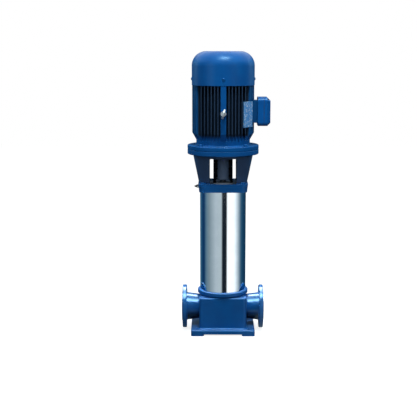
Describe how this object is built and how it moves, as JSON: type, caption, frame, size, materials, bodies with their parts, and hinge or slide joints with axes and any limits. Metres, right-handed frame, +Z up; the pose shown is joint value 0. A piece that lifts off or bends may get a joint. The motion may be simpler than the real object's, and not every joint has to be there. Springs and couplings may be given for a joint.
{
  "type": "vertical multistage pump",
  "caption": "Vertical multistage in-line water pump: flanged cast base, polished sleeve with stacked impellers, open lantern and finned flange motor.",
  "frame": {"origin": "centre of the four anchor holes, on the floor under the feet", "axes": "+Z up along the shaft, -Y towards the front with the lifting eye, -X along the suction port and +X along the discharge port and terminal box"},
  "size_m": [0.371, 0.3265, 1.19],
  "materials": {
    "blue_paint": "glossy blue enamel over cast iron and sheet steel",
    "polished_steel": "polished stainless steel tube",
    "stainless_steel": "pressed and machined stainless steel",
    "plated_steel": "zinc plated steel",
    "dark_steel": "blackened steel",
    "bearing_bronze": "machined bronze",
    "black_rubber": "matt black rubber",
    "seal_carbide": "lapped silicon carbide",
    "core_steel": "stacked electrical steel",
    "copper_winding": "varnished copper winding",
    "fan_plastic": "black glass-filled plastic",
    "block_plastic": "brown moulded terminal block",
    "gland_plastic": "black plastic",
    "plate_aluminium": "bare satin aluminium plate"
  },
  "bodies": {
    "pump": {"base_casting": "blue_paint", "port_nozzles": "blue_paint", "drain_plug": "plated_steel", "lower_bearing_bush": "bearing_bronze", "outer_sleeve": "polished_steel", "sleeve_gaskets": "black_rubber", "tie_bolts": "plated_steel", "wear_rings": "bearing_bronze", "outlet_ring": "stainless_steel", "pump_head": "blue_paint", "vent_plug": "plated_steel", "seal_cover": "stainless_steel", "seal_cover_screws": "plated_steel", "seal_seat": "seal_carbide", "lantern": "blue_paint", "lantern_screws": "dark_steel", "motor_flange": "blue_paint", "motor_flange_bolts": "blue_paint", "motor_frame": "blue_paint", "end_shield_screws": "blue_paint", "stator_core": "core_steel", "stator_windings": "copper_winding", "bearing_outer_rings": "stainless_steel", "wave_spring": "stainless_steel", "rear_end_shield": "blue_paint", "fan_cowl": "blue_paint", "cowl_screws": "plated_steel", "lifting_eye": "plated_steel", "nameplate": "plate_aluminium", "terminal_box": "blue_paint", "terminal_box_lid": "blue_paint", "terminal_box_screws": "plated_steel", "terminal_block": "block_plastic", "cable_gland": "gland_plastic", "stage_casing_1": "stainless_steel", "stage_casing_2": "stainless_steel", "stage_casing_3": "stainless_steel", "stage_casing_4": "stainless_steel", "stage_casing_5": "stainless_steel"},
    "rotor": {"pump_shaft": "stainless_steel", "impeller_nut": "stainless_steel", "impeller_spacers": "stainless_steel", "seal_ring": "seal_carbide", "seal_bellows": "black_rubber", "coupling_half_front": "dark_steel", "coupling_half_rear": "dark_steel", "coupling_screws": "dark_steel", "motor_shaft_key": "plated_steel", "motor_shaft": "plated_steel", "rotor_core": "core_steel", "bearing_inner_rings": "stainless_steel", "fan": "fan_plastic", "impeller_1": "stainless_steel", "impeller_2": "stainless_steel", "impeller_3": "stainless_steel", "impeller_4": "stainless_steel", "impeller_5": "stainless_steel"},
    "lower_balls": {"lower_bearing_balls": "stainless_steel"},
    "upper_balls": {"upper_bearing_balls": "stainless_steel"},
    "vent": {"vent_screw": "dark_steel"}
  },
  "joints": [
    {"name": "rotor_spin", "type": "hinge", "parent": "pump", "child": "rotor", "pos_m": [0, 0, 0.8], "axis": [0, 0, 1], "continuous": true},
    {"name": "lower_balls_spin", "type": "hinge", "parent": "pump", "child": "lower_balls", "pos_m": [0, 0, 0.804], "axis": [0, 0, 1], "continuous": true},
    {"name": "upper_balls_spin", "type": "hinge", "parent": "pump", "child": "upper_balls", "pos_m": [0, 0, 1.037], "axis": [0, 0, 1], "continuous": true},
    {"name": "vent_turn", "type": "hinge", "parent": "pump", "child": "vent", "pos_m": [-0.11, 0, 0.6235], "axis": [-1, 0, 0], "range_deg": [0, 720]}
  ],
  "couplings": [
    {"joint": "lower_balls_spin", "follows": "rotor_spin", "ratio": 0.4},
    {"joint": "upper_balls_spin", "follows": "rotor_spin", "ratio": 0.4}
  ]
}
